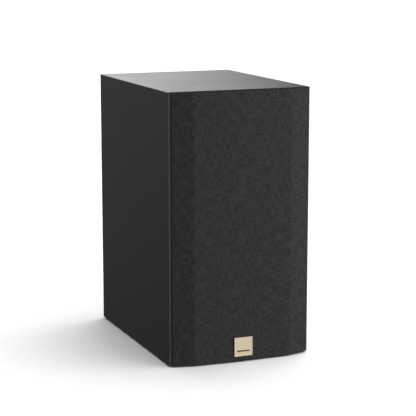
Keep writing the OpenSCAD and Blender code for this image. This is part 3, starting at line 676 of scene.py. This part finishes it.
def woofer_spider():
    """The pleated cloth disc that centres the coil."""
    start, end = SPIDER_INNER_R + SPIDER_INNER_FLAT, SPIDER_OUTER_R - SPIDER_OUTER_FLAT
    line = [(SPIDER_INNER_R, SPIDER_DEPTH)]
    for share in np.linspace(0, 1, SPIDER_WAVES * POINTS_PER_WAVE + 1):
        wave = (1 - math.cos(2 * math.pi * SPIDER_WAVES * share)) / 2
        line.append((start + (end - start) * share, SPIDER_DEPTH - SPIDER_WAVE_H * wave))
    line.append((SPIDER_OUTER_R, SPIDER_DEPTH))
    mesh = lathe("woofer_spider_pleats", WOOFER_AXIS, ribbon(line, SPIDER_T))
    obj = piece("woofer_spider_pleats", SLOT_OF["woofer_spider"], mesh)
    blend_radially(obj, WOOFER_AXIS)
    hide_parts("woofer_spider")


LEAD_R = 0.6 * MM
# (sideways, up, depth) from the middle of the woofer's face, in mm: down from the lug and in to the former
LEAD_ROUTE = [
    (8, 58, 39.9), (8, 58, 34), (8, 58, 25), (8, 46, 24),
    (7, 34, 28), (5, 24, 31), (3.5, 17.2, 33),
]


def tinsel_leads():
    """Two braided leads from the lugs, in through the basket, to the coil's former."""
    bm = bmesh.new()
    for side in (-1, 1):
        tube(bm, [
            (WOOFER_AXIS.x + side * x * MM, FACE_Y + depth * MM, WOOFER_AXIS.z + up * MM)
            for x, up, depth in LEAD_ROUTE
        ], LEAD_R)
    mesh = finished(bm, "woofer_tinsel_braids")
    obj = piece("woofer_tinsel_braids", SLOT_OF["woofer_tinsel_leads"], mesh)
    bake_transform(obj)
    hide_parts("woofer_tinsel_leads")


DOME_ROLL_MID_R = 15.7 * MM
DOME_ROLL_R = 1.55 * MM
DOME_RIM_DEPTH = 5 * MM
DOME_ROLL_T = 0.3 * MM
DOME_LIP_R = 17.9 * MM


def tweeter_surround():
    """The small roll round the silk dome."""
    lip = DOME_RIM_DEPTH - DOME_ROLL_T / 2
    line = half_roll(DOME_ROLL_MID_R, DOME_ROLL_R, lip, 17) + [(DOME_LIP_R, lip)]
    mesh = lathe("tweeter_surround_roll", TWEETER_AXIS, ribbon(line, DOME_ROLL_T), 96)
    obj = piece("tweeter_surround_roll", SLOT_OF["tweeter_surround"], mesh)
    blend_radially(
        obj, TWEETER_AXIS
    )
    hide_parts("tweeter_surround")


woofer_surround()
woofer_spider()
tinsel_leads()
tweeter_surround()


# ------------------------------------------------------------------ wadding

PAD_T = 14 * MM
PAD_CUTS = 22
PAD_EDGE_SHARE = 0.25  # the edge's thickness, as a share of the pad's
PAD_CROWN_SHARE = 0.62
PAD_LUMP = 0.18
PAD_RAGGED = 0.012


def add_pad(bm, low, high, wall_side):
    """A lumpy pad whose flat side lies on a wall and whose edges thin out."""
    cube = bmesh.new()
    bmesh.ops.create_cube(cube, size=2)
    bmesh.ops.subdivide_edges(cube, edges=list(cube.edges), cuts=PAD_CUTS, use_grid_fill=True)
    centre, half = (low + high) / 2, (high - low) / 2
    for v in cube.verts:
        p = v.co.copy()
        edge = math.sqrt(max(0, (1 - abs(p.y) ** 10) * (1 - abs(p.z) ** 10)))
        lump = noise.fractal(Vector((p.y * 4, p.z * 5, wall_side * 3)), 1.0, 2.0, 4)
        inward = (1 - p.x * wall_side) / 2
        thick = min(1, PAD_EDGE_SHARE + PAD_CROWN_SHARE * edge * (1 + PAD_LUMP * lump))
        ragged = 1 - PAD_RAGGED * abs(noise.noise(Vector((p.z * 9, p.y * 9, wall_side))))
        v.co = (
            centre.x + wall_side * half.x * (1 - 2 * inward * thick),
            centre.y + half.y * p.y * ragged,
            centre.z + half.z * p.z * ragged,
        )
    mesh = bpy.data.meshes.new("pad")
    cube.to_mesh(mesh)
    cube.free()
    bm.from_mesh(mesh)


def damping_pads():
    """Two pads of polyester wadding, one on each side wall."""
    low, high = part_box("damping_pads")
    bm = bmesh.new()
    add_pad(bm, Vector((high.x - PAD_T, low.y, low.z)), high, 1)
    add_pad(bm, low, Vector((low.x + PAD_T, high.y, high.z)), -1)
    obj = piece("damping_wadding", SLOT_OF["damping_pads"], finished(bm, "damping_wadding"), "cabinet")
    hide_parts("damping_pads")


damping_pads()


# ------------------------------------------------------------------ stage, light and camera

def plane(name, size, place):
    """A square that is part of the studio and not of the object."""
    half = size / 2
    corners = [(-half, -half, 0), (half, -half, 0), (half, half, 0), (-half, half, 0)]
    mesh = bpy.data.meshes.new(name)
    mesh.from_pydata(corners, [], [(0, 1, 2, 3)])
    obj = bpy.data.objects.new(name, mesh)
    obj.location = place
    bpy.context.scene.collection.objects.link(obj)
    return obj


FLOOR_SIZE = 60


def paper_floor():
    """A wide pale floor, which the speaker's gloss and shade don't pick up."""
    obj = plane("floor", FLOOR_SIZE, (0, 0, 0))
    obj.data.materials.append(mottled("floor_paper", (0.86, 0.86, 0.86), 0.9, 30.0, 0.01, 0.01 * MM))
    obj.visible_glossy = False
    obj.visible_diffuse = False
    return obj


SKY = ((-0.32, 0.06), (-0.03, 0.24), (0.02, 0.24), (0.15, 0.04))


def studio_world():
    """White light from all round, whose strength at each height, -1 to 1, is in SKY."""
    world = bpy.data.worlds.new("studio")
    bpy.context.scene.world = world
    world.use_nodes = True
    nodes, link = world.node_tree.nodes, world.node_tree.links.new
    place = nodes.new("ShaderNodeTexCoord")
    split = nodes.new("ShaderNodeSeparateXYZ")
    rise = nodes.new("ShaderNodeMapRange")
    ramp = nodes.new("ShaderNodeValToRGB")
    rise.inputs["From Min"].default_value = -1
    link(place.outputs["Generated"], split.inputs[0])
    link(split.outputs["Z"], rise.inputs["Value"])
    link(rise.outputs["Result"], ramp.inputs["Fac"])
    stops = ramp.color_ramp.elements
    while len(stops) < len(SKY):
        stops.new(0.5)
    for stop, (height, bright) in zip(stops, SKY):
        stop.position = (height + 1) / 2
        stop.color = (bright, bright, bright, 1)
    link(ramp.outputs["Color"], nodes["Background"].inputs["Strength"])
    nodes["Background"].inputs["Color"].default_value = (1, 1, 1, 1)


def group_of(name, things):
    """A collection for a light to fall on."""
    group = bpy.data.collections.new(name)
    for thing in things:
        group.objects.link(thing)
    return group


def sun(name, source, angle, strength, group):
    """A wide soft light from a direction, angle degrees across, falling on a group alone."""
    light = bpy.data.lights.new(name, "SUN")
    light.angle = math.radians(angle)
    light.energy = strength
    obj = bpy.data.objects.new(name, light)
    obj.rotation_euler = Vector(source).to_track_quat("Z", "Y").to_euler()
    bpy.context.scene.collection.objects.link(obj)
    obj.light_linking.receiver_collection = group


def card(name, size, place, aim, bright, across):
    """A glowing white card, out of the camera's sight, that fades across its width."""
    obj = plane(name, 1, place)
    obj.scale = (*size, 1)
    obj.rotation_euler = (Vector(aim) - Vector(place)).to_track_quat("Z", "Y").to_euler()
    look = Look(name, (0, 0, 0), 1.0)
    glow = look.spread(look.axis(look.place(), "X"), *across, -0.5, 0.5)
    look.link(look.math("MULTIPLY", glow, bright), look.shader.inputs["Emission Strength"])
    look.shader.inputs["Emission Color"].default_value = (1, 1, 1, 1)
    obj.data.materials.append(look.material)
    obj.visible_camera = False
    obj.visible_diffuse = False
    obj.visible_shadow = False
    return obj


def lights(floor, speaker):
    """A wide light over the floor, a key and a fill on the speaker, and two cards for its gloss."""
    speaker_group = group_of("speaker_only", speaker)
    sun("overhead", (0.62, 0.12, 1), 110, 5.1, group_of("floor_only", [floor]))
    sun("key", (0.905, -0.425, 0.06), 24, 7.2, speaker_group)
    sun("fill", (-1, 0.3, 0.4), 40, 0.8, speaker_group)
    card("back_card", (1.0, 1.2), (0.2, 1.1, 0.95), (0, 0, 0.35), 2.3, (1.66, 0.24))
    edge_card = card("edge_card", (3.2, 1.6), (-1.35, -1.5, 0.1), (0, 0, 0.15), 1.6, (1, 1))
    edge_card.visible_diffuse = True


CAMERA_PLACE = (-0.720, -1.803, 0.534)
CAMERA_YAW = math.radians(22.06)
CAMERA_PITCH = math.radians(10.42)
CAMERA_LENS = 125.3
CAMERA_SENSOR = 36


def camera():
    """Looks down a little at the front and the left side."""
    data = bpy.data.cameras.new("camera")
    data.lens = CAMERA_LENS
    data.sensor_width = CAMERA_SENSOR
    obj = bpy.data.objects.new("camera", data)
    obj.location = CAMERA_PLACE
    obj.rotation_euler = (math.pi / 2 - CAMERA_PITCH, 0, -CAMERA_YAW)
    bpy.context.scene.collection.objects.link(obj)
    bpy.context.scene.camera = obj


speaker_meshes = [obj for obj in bpy.context.scene.objects if obj.type == "MESH"]
studio_world()
lights(paper_floor(), speaker_meshes)
camera()
bpy.context.scene.view_settings.view_transform = "Standard"
